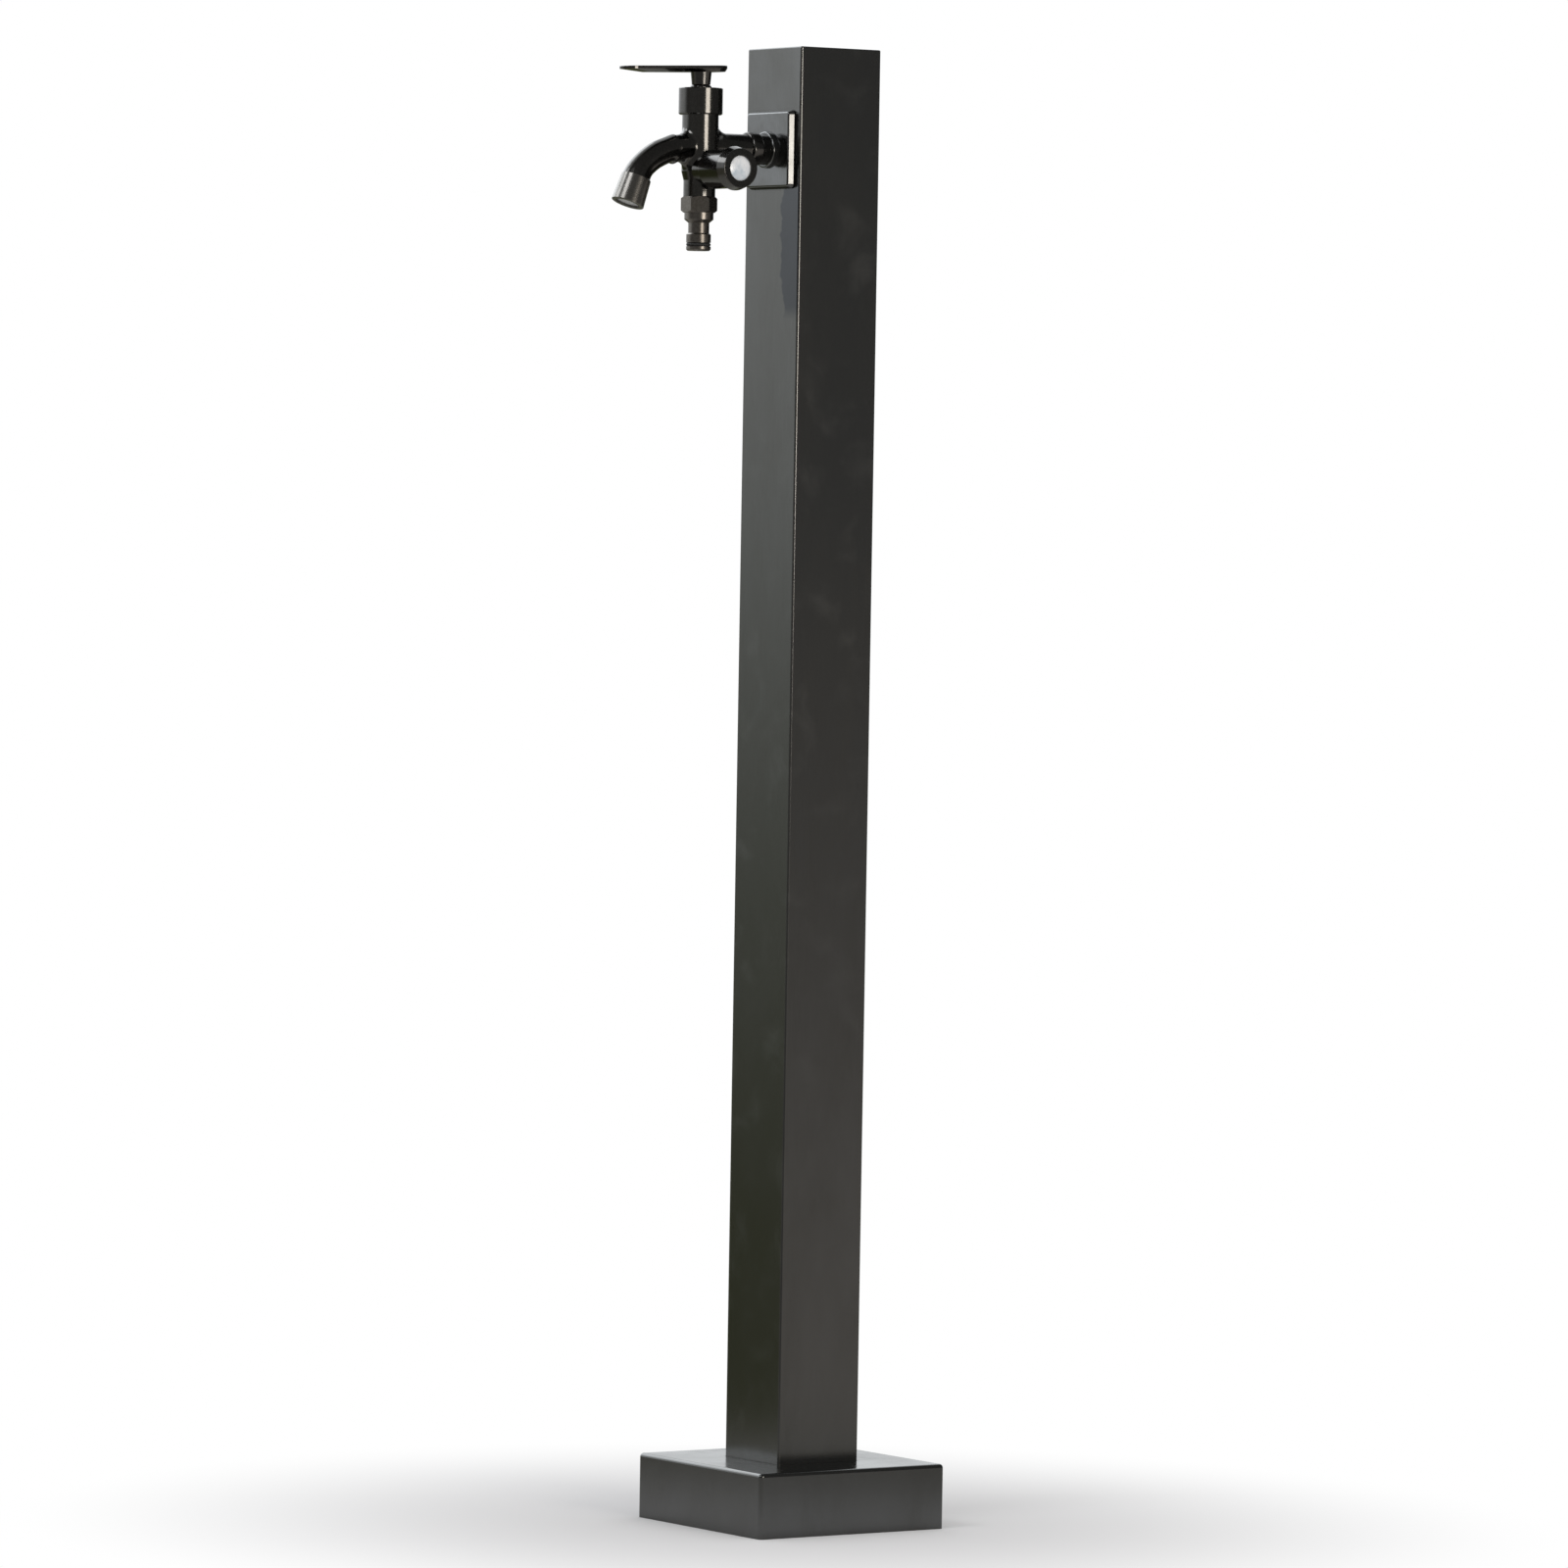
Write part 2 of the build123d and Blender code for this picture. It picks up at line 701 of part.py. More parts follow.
def make_main_moving_disc():
    disc = ported_disc(disc_radius, port_radius, top_valve.moving_bottom, top_valve.moving_top)
    return on_tower(Rot(0, 0, 90) * disc)


def make_main_seat_seal():
    return on_tower(ring(seal_radius, seat_hole_radius, top_valve.seat, top_valve.seal_top))


def make_bonnet_cap():
    body = rod(bonnet_radius, tower_rise, bonnet_top)
    body = chamfer(body.faces().sort_by(Axis.Z)[0].outer_wire().edges(), bonnet_lower_chamfer)
    body = chamfer(body.faces().sort_by(Axis.Z)[-1].outer_wire().edges(), bonnet_upper_chamfer)
    clamp_height = cartridge_shelf + cartridge_flange_height + seat_gap
    body -= rod(bonnet_thread_radius + fit_clearance, tower_rise - overrun, clamp_height)
    return on_tower(body - rod(gland_radius + fit_clearance, clamp_height - overrun, bonnet_top + overrun))


def make_gland_nut():
    bottom = cartridge_shelf + cartridge_flange_height + cartridge_neck_height + seat_gap
    hole_radius = spindle_radius + turning_clearance
    sag = (gland_radius - gland_top_radius) / 3
    middle = ((gland_radius + gland_top_radius) / 2 + sag, 0, bonnet_top + gland_rise / 2 + sag)
    side = Polyline(
        (gland_top_radius, 0, bonnet_top + gland_rise),
        (hole_radius, 0, bonnet_top + gland_rise),
        (hole_radius, 0, bottom),
        (gland_radius, 0, bottom),
        (gland_radius, 0, bonnet_top),
    )
    dome = ThreePointArc((gland_radius, 0, bonnet_top), middle, (gland_top_radius, 0, bonnet_top + gland_rise))
    return on_tower(revolve(make_face(side + dome), Axis.Z))


def make_side_cartridge():
    pocket_radius = side_disc_radius + fit_clearance
    body = cartridge_barrel(
        side_valve, side_cartridge_radius, pocket_radius, side_window_width, side_boss_length
    )
    hex_end = side_boss_length + side_hex_length
    body += hexagon(side_hex_across_flats, side_boss_length, hex_end)
    body += rod(side_neck_radius, hex_end, side_neck_end)
    guide_start = side_valve.cavity_top - overrun
    guide = rod(side_spindle_radius + turning_clearance, guide_start, side_neck_end + overrun)
    return on_side_valve(body - guide)


def make_side_spindle():
    body = rod(side_drive_radius, side_valve.drive_bottom, side_valve.drive_top)
    body += rod(side_spindle_radius, side_valve.drive_top, side_spindle_end)
    body = grooved(body, side_spindle_radius, side_ring_thickness, side_valve.drive_top + side_ring_offset)
    hole_bottom = side_spindle_end - knob_screw_depth - seat_gap
    hole = rod(knob_screw_radius + fit_clearance, hole_bottom, side_spindle_end + overrun)
    return on_side_valve(body - hole)


def make_side_spindle_ring():
    height = side_valve.drive_top + side_ring_offset
    return on_side_valve(o_ring(side_spindle_radius - side_ring_thickness / 2, side_ring_thickness, height))


def make_side_fixed_disc():
    disc = ported_disc(side_disc_radius, side_port_radius, side_valve.seal_top, side_valve.fixed_top)
    return on_side_valve(disc)


def make_side_moving_disc():
    disc = ported_disc(side_disc_radius, side_port_radius, side_valve.moving_bottom, side_valve.moving_top)
    return on_side_valve(Rot(0, 0, 90) * disc)


def make_side_seat_seal():
    return on_side_valve(ring(side_seal_radius, side_feed_radius, side_valve.seat, side_valve.seal_top))


# Lever

def paddle(hub_radius, hub_offset, tip_radius, reach):
    """Outline of two circles and their common tangents, with the tip towards -Y."""
    circles = Pos(0, hub_offset) * Circle(hub_radius) + Pos(0, -reach) * Circle(tip_radius)
    return make_hull(circles.edges())


def make_lever_handle():
    under = paddle(underside_hub_radius, underside_hub_offset, underside_tip_radius, underside_reach)
    over = paddle(lever_hub_radius, lever_hub_offset, lever_tip_radius, lever_reach)
    rim_bottom = stem_top + lever_thickness - lever_rim
    plate = Pos(0, 0, rim_bottom) * extrude(over, lever_rim)
    plate = round_ends(plate, lever_edge_radius, lower=False)
    plate += loft([Pos(0, 0, stem_top) * under, Pos(0, 0, rim_bottom) * over], ruled=True)
    # The plate droops a little towards its tip, and the stem runs up into it
    middle = stem_top + lever_thickness / 2
    plate = Pos(0, 0, middle) * Rot(lever_droop, 0, 0) * Pos(0, 0, -middle) * plate
    stem = cone(stem_lower_radius, stem_upper_radius, stem_bottom, stem_top)
    stem += rod(stem_upper_radius, stem_top, middle)
    socket = rod(spline_radius + fit_clearance, stem_bottom - overrun, stem_bottom + spline_length + free_gap)
    body = plate + stem - socket
    screw_hole = rod(lever_screw_radius + fit_clearance, 0, stem_upper_radius + overrun)
    return on_tower(body - at_lever_screw(screw_hole))


def at_lever_screw(shape):
    """Place a shape whose +Z runs back from the spindle's axis, at the height of the set screw."""
    return Pos(0, 0, stem_bottom + lever_screw_rise) * Rot(-90, 0, 0) * shape


def make_lever_set_screw():
    start = spline_radius + seat_gap
    end = start + lever_screw_length
    socket = rod(lever_screw_socket_radius, end - screw_socket_depth, end)
    return on_tower(at_lever_screw(rod(lever_screw_radius, start, end) - socket))


# Knob

def make_knob_grip():
    body = rod(knob_radius, knob_start, grip_end)
    body = fillet(body.faces().sort_by(Axis.Z)[0].outer_wire().edges(), knob_rear_edge_radius)
    body += rod(knob_spigot_radius, grip_end, spigot_end)
    cavity_end = knob_start + knob_cavity_depth
    body -= ring(knob_radius - knob_wall, knob_hub_radius, knob_start - overrun, cavity_end)
    body -= rod(knob_hub_radius, knob_start - overrun, side_neck_end + free_gap)
    body -= rod(side_spindle_radius + fit_clearance, knob_start, side_spindle_end + seat_gap)
    body -= rod(knob_screw_radius + fit_clearance, side_spindle_end, spigot_end + overrun)
    head_bottom = spigot_end - knob_screw_head_height - seat_gap
    head_space = rod(knob_screw_head_radius + fit_clearance, head_bottom, spigot_end + overrun)
    return on_side_valve(body - head_space)


def make_knob_cap():
    start = grip_end + knob_groove
    body = cone(knob_cap_rear_radius, knob_cap_front_radius, start, start + knob_cap_length)
    body = round_ends(body, knob_cap_edge_radius)
    body -= rod(knob_spigot_radius + fit_clearance, start - overrun, spigot_end + seat_gap)
    index_space = rod(index_radius + fit_clearance, spigot_end, start + knob_cap_length + overrun)
    return on_side_valve(body - index_space)


def make_index_disc():
    bottom = spigot_end + seat_gap
    rim = bottom + index_thickness
    side = Polyline(
        (0, 0, rim + index_crown), (0, 0, bottom), (index_radius, 0, bottom), (index_radius, 0, rim)
    )
    dome = crown_arc(index_radius, rim, index_crown)
    return on_side_valve(revolve(make_face(side + dome), Axis.Z))


def crown_arc(radius, rim, crown):
    """Shallow arc from the rim of a disc up to the middle of its face."""
    sphere_radius = (radius ** 2 + crown ** 2) / (2 * crown)
    half = radius / 2
    middle = rim + crown - sphere_radius + sqrt(sphere_radius ** 2 - half ** 2)
    return ThreePointArc((radius, 0, rim), (half, 0, middle), (0, 0, rim + crown))


def make_knob_screw():
    head_top = spigot_end - seat_gap
    head_bottom = head_top - knob_screw_head_height
    screw = rod(knob_screw_head_radius, head_bottom + seat_gap, head_top)
    screw += rod(knob_screw_radius, side_spindle_end - knob_screw_depth, head_bottom + seat_gap)
    socket = rod(knob_screw_socket_radius, head_top - screw_socket_depth, head_top + overrun)
    return on_side_valve(screw - socket)


# Nozzle and aerator

def make_spout_nozzle():
    body = round_ends(cone(nozzle_top_radius, nozzle_tip_radius, 0, nozzle_length), nozzle_edge_radius)
    body -= rod(spout_spigot_radius + fit_clearance, -overrun, spout_spigot_length)
    body -= rod(aerator_bore_radius, spout_spigot_length, nozzle_length - nozzle_lip_length)
    return on_nozzle(body - rod(nozzle_lip_radius, spout_spigot_length, nozzle_length + overrun))


def perforated(plate, bottom, top):
    """Drill a plate with one middle hole and rings of holes round it."""
    hole = rod(aerator_hole_radius, bottom - overrun, top + overrun)
    holes = [hole]
    for number in range(1, aerator_hole_rings + 1):
        holes += [place * hole for place in PolarLocations(number * aerator_hole_pitch, number * 6)]
    return plate - holes


def make_nozzle_washer():
    start = spout_spigot_length + seat_gap
    outer = aerator_bore_radius - fit_clearance
    return on_nozzle(ring(outer, spout_bore_radius, start, start + nozzle_washer_thickness))


def make_aerator_screen():
    start = spout_spigot_length + seat_gap + nozzle_washer_thickness
    plate = rod(aerator_bore_radius - fit_clearance, start, start + screen_thickness)
    return on_nozzle(perforated(plate, start, start + screen_thickness))


def make_aerator_body():
    start = spout_spigot_length + seat_gap + nozzle_washer_thickness + screen_thickness
    end = nozzle_length - nozzle_lip_length - seat_gap
    outer = aerator_bore_radius - fit_clearance
    body = rod(outer, start, end) - rod(outer - aerator_wall, start - overrun, end - aerator_face)
    return on_nozzle(perforated(body, end - aerator_face, end))


# Hose connector

def make_hose_connector():
    step_bottom = -(connector_hex_height + connector_step_height)
    cone_bottom = step_bottom - connector_cone_height
    body = bevelled_hexagon(connector_hex_across_flats, connector_hex_chamfer, -connector_hex_height, 0)
    body += rod(outlet_bore_radius - fit_clearance, 0, connector_thread_length)
    body += rod(connector_step_radius, step_bottom, -connector_hex_height)
    body += cone(nipple_neck_radius, connector_step_radius, cone_bottom, step_bottom)
    body += rod(nipple_neck_radius, nipple_top, cone_bottom)
    nipple = rod(nipple_radius, nipple_bottom, nipple_top)
    nipple = chamfer(nipple.faces().sort_by(Axis.Z)[0].edges(), nipple_end_chamfer)
    nipple = chamfer(nipple.faces().sort_by(Axis.Z)[-1].edges(), nipple_shoulder)
    nipple = grooved(nipple, nipple_radius, nipple_ring_thickness, nipple_bottom + nipple_ring_rise)
    bore = rod(nipple_bore_radius, nipple_bottom - overrun, connector_thread_length + overrun)
    return under_neck(body + nipple - bore)


def make_hose_seal_ring():
    centre_radius = nipple_radius - nipple_ring_thickness / 2 - seat_gap
    return under_neck(o_ring(centre_radius, nipple_ring_thickness, nipple_bottom + nipple_ring_rise))


def make_connector_washer():
    outer = outlet_bore_radius + connector_washer_band - fit_clearance
    return under_neck(ring(outer, outlet_bore_radius, 0, connector_washer_thickness - seat_gap))


pieces = {
    "post_tube": make_post_tube,
    "top_cap": make_top_cap,
    "base_plate": make_base_plate,
    "base_cover": make_base_cover,
    "supply_pipe": make_supply_pipe,
    "inlet_fitting": make_inlet_fitting,
    "pipe_nuts": make_pipe_nuts,
    "pipe_olives": make_pipe_olives,
    "wall_elbow": make_wall_elbow,
    "elbow_screws": make_elbow_screws,
    "flange_gasket": make_flange_gasket,
    "flange": make_flange,
    "tap_body": make_tap_body,
    "main_cartridge": make_main_cartridge,
    "main_spindle": make_main_spindle,
    "main_spindle_ring": make_main_spindle_ring,
    "main_fixed_disc": make_main_fixed_disc,
    "main_moving_disc": make_main_moving_disc,
    "main_seat_seal": make_main_seat_seal,
    "bonnet_cap": make_bonnet_cap,
    "gland_nut": make_gland_nut,
    "lever_handle": make_lever_handle,
    "lever_set_screw": make_lever_set_screw,
    "side_cartridge": make_side_cartridge,
    "side_spindle": make_side_spindle,
    "side_spindle_ring": make_side_spindle_ring,
    "side_fixed_disc": make_side_fixed_disc,
    "side_moving_disc": make_side_moving_disc,
    "side_seat_seal": make_side_seat_seal,
    "knob_grip": make_knob_grip,
    "knob_cap": make_knob_cap,
    "index_disc": make_index_disc,
    "knob_screw": make_knob_screw,
    "spout_nozzle": make_spout_nozzle,
    "nozzle_washer": make_nozzle_washer,
    "aerator_screen": make_aerator_screen,
    "aerator_body": make_aerator_body,
    "hose_connector": make_hose_connector,
    "hose_seal_ring": make_hose_seal_ring,
    "connector_washer": make_connector_washer,
}

os.makedirs("parts", exist_ok=True)
for name, make in pieces.items():
    export_step(make(), f"parts/{name}.step")
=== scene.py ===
"""Looks of the garden standpipe: materials, floor, lights and camera, in metres and degrees."""

from math import cos, pi, radians, sin

import bpy
from mathutils import Matrix, Vector


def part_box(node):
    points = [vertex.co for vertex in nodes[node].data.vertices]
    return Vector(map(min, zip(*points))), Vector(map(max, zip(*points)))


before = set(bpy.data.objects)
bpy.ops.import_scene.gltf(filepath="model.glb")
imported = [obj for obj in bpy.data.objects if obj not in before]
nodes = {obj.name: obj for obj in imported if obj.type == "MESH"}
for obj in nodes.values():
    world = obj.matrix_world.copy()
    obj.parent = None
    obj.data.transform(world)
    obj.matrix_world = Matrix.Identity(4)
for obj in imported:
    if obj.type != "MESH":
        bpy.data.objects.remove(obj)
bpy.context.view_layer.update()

# Camera, fitted to the edges of the post and the base
PHOTO_PIXELS = 1600
FOCAL_PIXELS = 8989
SENSOR_WIDTH = 36
CAMERA_AZIMUTH = 56.06
CAMERA_ELEVATION = 1.739
CAMERA_ROLL = 0.952
CAMERA_PLACE = Vector((4.9493, -3.3458, 0.6840))
NEAR_LIMIT, FAR_LIMIT = 0.1, 100

# Places that the wet patch refers to
post_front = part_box("post_tube")[0].y
flange_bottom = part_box("flange")[0].z

# Samples of the nodes that look for edges and corners
EDGE_SAMPLES = 6
CORNER_SAMPLES = 6

# Colours that materials share
# Grime colours, also laid on corners and gaps as painted shade
GRIME_AND_SHADE = (0.035, 0.032, 0.026)
POST_GRIME_AND_SHADE = (0.05, 0.047, 0.038)
WHITE = (1, 1, 1)


# Building node trees

class Tree:
    """A node tree under construction: each method adds one node and gives its output."""

    def __init__(self, owner):
        owner.use_nodes = True
        self.tree = owner.node_tree
        self.tree.nodes.clear()

    def node(self, kind, settings=None, **inputs):
        made = self.tree.nodes.new(kind)
        for name, value in (settings or {}).items():
            setattr(made, name, value)
        for name, value in inputs.items():
            self.feed(made.inputs[name.replace("_", " ")], value)
        return made

    def feed(self, socket, value):
        if isinstance(value, bpy.types.NodeSocket):
            self.tree.links.new(value, socket)
        elif isinstance(value, (tuple, list)) and socket.type == "RGBA" and len(value) == 3:
            socket.default_value = (*value, 1)
        else:
            socket.default_value = value

    def place(self):
        return self.node("ShaderNodeTexCoord").outputs["Object"]

    def mapped(self, vector, location=(0, 0, 0), scale=(1, 1, 1)):
        made = self.node("ShaderNodeMapping", Vector=vector, Location=location, Scale=scale)
        return made.outputs["Vector"]

    def noise(self, vector, scale, detail=3.0, roughness=0.5, distortion=0.0):
        made = self.node(
            "ShaderNodeTexNoise", Vector=vector, Scale=scale, Detail=detail, Roughness=roughness,
            Distortion=distortion,
        )
        return made.outputs["Fac"]

    def ramp(self, value, low, high, start=0.0, end=1.0, smooth=True):
        """Value's run from low to high, taken from start to end and held there."""
        settings = {"interpolation_type": "SMOOTHSTEP" if smooth else "LINEAR"}
        made = self.node("ShaderNodeMapRange", settings)
        names = ("Value", "From Min", "From Max", "To Min", "To Max")
        for name, number in zip(names, (value, low, high, start, end)):
            self.feed(made.inputs[name], number)
        return made.outputs["Result"]

    def math(self, operation, first, second):
        made = self.node("ShaderNodeMath", {"operation": operation})
        self.feed(made.inputs[0], first)
        self.feed(made.inputs[1], second)
        return made.outputs["Value"]

    def times(self, first, second):
        return self.math("MULTIPLY", first, second)

    def plus(self, first, second):
        return self.math("ADD", first, second)

    def mix(self, share, first, second):
        """Colour that goes from first to second with share."""
        made = self.node("ShaderNodeMix", {"data_type": "RGBA"})
        # Socket 0 takes the share, 6 and 7 take colours, and output 2 gives one
        self.feed(made.inputs[0], share)
        self.feed(made.inputs[6], first)
        self.feed(made.inputs[7], second)
        return made.outputs[2]

    def axes(self, vector):
        """The three parts of a vector."""
        return self.node("ShaderNodeSeparateXYZ", Vector=vector).outputs

    def edges(self, radius):
        """1 on sharp edges and corners, falling to 0 on open faces."""
        bevel = self.node("ShaderNodeBevel", {"samples": EDGE_SAMPLES}, Radius=radius).outputs["Normal"]
        normal = self.node("ShaderNodeNewGeometry").outputs["Normal"]
        return self.ramp(self.cosine(bevel, normal), 0.98, 0.8)

    def cosine(self, first, second):
        """Cosine of the angle between two directions."""
        made = self.node("ShaderNodeVectorMath", {"operation": "DOT_PRODUCT"})
        self.feed(made.inputs[0], first)
        self.feed(made.inputs[1], second)
        return made.outputs["Value"]

    def corners(self, reach):
        """1 deep in corners and gaps, falling to 0 on open faces."""
        painted_shade = self.node("ShaderNodeAmbientOcclusion", {"samples": CORNER_SAMPLES}, Distance=reach)
        return self.ramp(painted_shade.outputs["AO"], 0.75, 0.25)

    def bump(self, height, strength, distance, normal=None):
        made = self.node("ShaderNodeBump", Height=height, Strength=strength, Distance=distance)
        if normal is not None:
            self.feed(made.inputs["Normal"], normal)
        return made.outputs["Normal"]

    def surface(self, **inputs):
        shader = self.node("ShaderNodeBsdfPrincipled", None, **inputs)
        self.node("ShaderNodeOutputMaterial", Surface=shader.outputs[0])


def dress(material, *names):
    """Put a material on CAD nodes."""
    for name in names:
        mesh = nodes[name].data
        mesh.materials.clear()
        mesh.materials.append(material)


# Materials

def metal(
    name, colour, stain, worn, roughness, spread, grain, grain_scale, cloud_size,
    wear=0.6, grime_and_shade=0.5, relief=0.15, metallic=1.0,
):
    """Metal with clouds of stain, fine grain, worn edges, and grime with painted shade in its corners.

    Spread is how far the roughness varies, grain and relief are the strengths of the fine and the broad
    bumps, and wear and the grime-and-shade share are how much the worn edges and the grime with painted shade
    in the corners show.
    """
    material = bpy.data.materials.new(name)
    t = Tree(material)
    place = t.place()
    clouds = t.noise(place, 1 / cloud_size, 5, 0.6, 0.4)
    fine = t.noise(t.mapped(place, scale=grain_scale), 1, 4, 0.6)
    specks = t.noise(place, 900, 2, 0.5)
    base = t.mix(t.ramp(clouds, 0.35, 0.72), colour, stain)
    base = t.mix(t.times(t.ramp(fine, 0.35, 0.7), 0.25), base, worn)
    chips = t.times(t.edges(0.0006), t.ramp(specks, 0.4, 0.6))
    base = t.mix(t.times(chips, wear), base, worn)
    # Grime and painted shade: colour darkened deep in corners and gaps, where shade falls
    dirt_and_shade = t.times(t.corners(0.004), t.ramp(clouds, 0.2, 0.8, 0.4, 1))
    base = t.mix(t.times(dirt_and_shade, grime_and_shade), base, GRIME_AND_SHADE)
    rough = t.plus(t.ramp(clouds, 0.3, 0.75, roughness, roughness + spread), t.times(dirt_and_shade, 0.3))
    rough = t.plus(rough, t.ramp(fine, 0.3, 0.7, -spread / 3, spread / 3))
    normal = t.bump(fine, grain, 0.00004)
    normal = t.bump(clouds, relief, 0.0004, normal)
    t.surface(Base_Color=base, Metallic=metallic, Roughness=rough, Normal=normal)
    return material


def post_metal(name, painted_shade):
    """Dark satin steel, with brushing up the post, a water stain under the flange, and grime with painted
    shade in its corners. The shade amount darkens all of it evenly, as painted shade.
    """
    material = bpy.data.materials.new(name)
    t = Tree(material)
    place = t.place()
    x, y, z = t.axes(place)
    clouds = t.noise(t.mapped(place, scale=(1, 1, 0.45)), 14, 6, 0.62, 0.6)
    smudges = t.noise(t.mapped(place, location=(3, 1, 2)), 30, 4, 0.55, 0.4)
    brushing = t.noise(t.mapped(place, scale=(2600, 2600, 60)), 1, 3, 0.6)
    specks = t.noise(place, 1200, 2, 0.5)
    base = t.mix(t.ramp(clouds, 0.3, 0.7), (0.168, 0.17, 0.17), (0.146, 0.146, 0.142))
    base = t.mix(t.ramp(smudges, 0.5, 0.8, 0, 0.3), base, (0.2, 0.203, 0.2))
    base = t.mix(t.ramp(brushing, 0.35, 0.75, 0, 0.25), base, (0.21, 0.213, 0.21))
    # Water has run down the front face from the flange, on the side of the knob
    edge_wave = t.noise(t.mapped(place, scale=(0.2, 0.2, 1)), 45, 3, 0.6)
    border = t.plus(x, t.ramp(edge_wave, 0.3, 0.7, -0.005, 0.005, False))
    wet = t.times(t.ramp(border, 0.0125, 0.0142), t.ramp(z, flange_bottom - 0.09, flange_bottom - 0.078))
    wet = t.times(wet, t.ramp(z, flange_bottom + 0.006, flange_bottom - 0.002))
    wet = t.times(wet, t.ramp(y, post_front + 0.001, post_front + 0.0003))
    base = t.mix(t.times(wet, 0.8), base, (0.075, 0.08, 0.09))
    chips = t.times(t.edges(0.0009), t.ramp(specks, 0.42, 0.62))
    base = t.mix(t.times(chips, 0.2), base, (0.26, 0.26, 0.25))
    # Grime and painted shade: colour darkened near corners and gaps, where shade falls
    dirt_and_shade = t.times(t.corners(0.012), t.ramp(smudges, 0.25, 0.7, 0.5, 1))
    base = t.mix(t.times(dirt_and_shade, 0.55), base, POST_GRIME_AND_SHADE)
    # Painted shade: the whole colour darkened evenly by the shade amount
    base = t.mix(painted_shade, base, (0.02, 0.02, 0.018))
    rough = t.ramp(clouds, 0.3, 0.75, 0.17, 0.22)
    rough = t.plus(rough, t.ramp(smudges, 0.5, 0.8, 0, 0.06))
    rough = t.math("SUBTRACT", rough, t.times(wet, 0.05))
    rough = t.plus(rough, t.times(dirt_and_shade, 0.25))
    normal = t.bump(brushing, 0.12, 0.00003)
    normal = t.bump(clouds, 0.12, 0.0006, normal)
    t.surface(Base_Color=base, Metallic=1.0, Roughness=rough, Normal=normal)
    return material


def soft_material(name, colour, worn, roughness, bump_scale, bump_depth):
    """Rubber, ceramic or plastic: mottled, with a fine grain and paler edges."""
    material = bpy.data.materials.new(name)
    t = Tree(material)
    place = t.place()
    mottle = t.noise(place, 90, 4, 0.6)
    grain = t.noise(place, bump_scale, 3, 0.5)
    darker = tuple(channel * 0.72 for channel in colour)
    base = t.mix(t.ramp(mottle, 0.3, 0.7), colour, darker)
    base = t.mix(t.times(t.edges(0.0004), 0.6), base, worn)
    rough = t.ramp(grain, 0.3, 0.7, roughness - 0.06, roughness + 0.08)
    t.surface(Base_Color=base, Roughness=rough, Normal=t.bump(grain, 0.3, bump_depth))
    return material


tap = metal(
    "tap_metal", colour=(0.112, 0.11, 0.107), stain=(0.094, 0.091, 0.086), worn=(0.2, 0.195, 0.185),
    roughness=0.14, spread=0.03, grain=0.03, grain_scale=(700, 700, 700), cloud_size=0.03,
    wear=0.2, relief=0.05,
)
connector = metal(
    "connector_metal", colour=(0.2, 0.185, 0.17), stain=(0.16, 0.145, 0.13), worn=(0.34, 0.32, 0.3),
    roughness=0.26, spread=0.06, grain=0.06, grain_scale=(700, 700, 700), cloud_size=0.012,
    wear=0.3, relief=0.08,
)
flange_metal = metal(
    "flange_metal", colour=(0.18, 0.184, 0.188), stain=(0.15, 0.152, 0.15), worn=(0.3, 0.3, 0.3),
    roughness=0.14, spread=0.05, grain=0.06, grain_scale=(2200, 2200, 120), cloud_size=0.03,
    wear=0.2, relief=0.1,
)
nozzle = metal(
    "nozzle_metal", colour=(0.21, 0.202, 0.19), stain=(0.175, 0.168, 0.158), worn=(0.3, 0.29, 0.27),
    roughness=0.24, spread=0.05, grain=0.1, grain_scale=(500, 500, 2600), cloud_size=0.02,
    wear=0.3, relief=0.08,
)
# Painted reflection: the chrome disc's white mirror image and its blue-grey spot are painted as a near-white
# colour with bluish clouds, with metallic kept low
index = metal(
    "index_metal", colour=(0.93, 0.93, 0.93), stain=(0.5, 0.58, 0.64), worn=(0.93, 0.93, 0.93),
    roughness=0.2, spread=0.05, grain=0.04, grain_scale=(500, 500, 500), cloud_size=0.012, metallic=0.12,
)
steel = metal(
    "bright_steel", colour=(0.46, 0.46, 0.45), stain=(0.38, 0.375, 0.36), worn=(0.62, 0.62, 0.6),
    roughness=0.24, spread=0.1, grain=0.2, grain_scale=(900, 900, 900), cloud_size=0.02,
)
plate = metal(
    "plate_steel", colour=(0.4, 0.4, 0.39), stain=(0.3, 0.295, 0.28), worn=(0.55, 0.55, 0.54),
    roughness=0.34, spread=0.12, grain=0.3, grain_scale=(1500, 90, 1500), cloud_size=0.05, grime_and_shade=0.7,
)
pipe = metal(
    "pipe_steel", colour=(0.5, 0.5, 0.49), stain=(0.4, 0.395, 0.38), worn=(0.6, 0.6, 0.59),
    roughness=0.22, spread=0.1, grain=0.15, grain_scale=(1800, 1800, 60), cloud_size=0.05,
)
brass = metal(
    "brass", colour=(0.56, 0.42, 0.19), stain=(0.42, 0.3, 0.13), worn=(0.72, 0.58, 0.32),
    roughness=0.26, spread=0.12, grain=0.25, grain_scale=(900, 900, 900), cloud_size=0.02, grime_and_shade=0.7,
)
ceramic = soft_material(
    "ceramic", colour=(0.78, 0.77, 0.73), worn=(0.88, 0.88, 0.86), roughness=0.22,
    bump_scale=2500, bump_depth=0.00001,
)
rubber = soft_material(
    "rubber", colour=(0.022, 0.022, 0.022), worn=(0.06, 0.06, 0.06), roughness=0.6,
    bump_scale=1400, bump_depth=0.00005,
)
plastic = soft_material(
    "aerator_plastic", colour=(0.6, 0.6, 0.58), worn=(0.75, 0.75, 0.73), roughness=0.42,
    bump_scale=1800, bump_depth=0.00003,
)

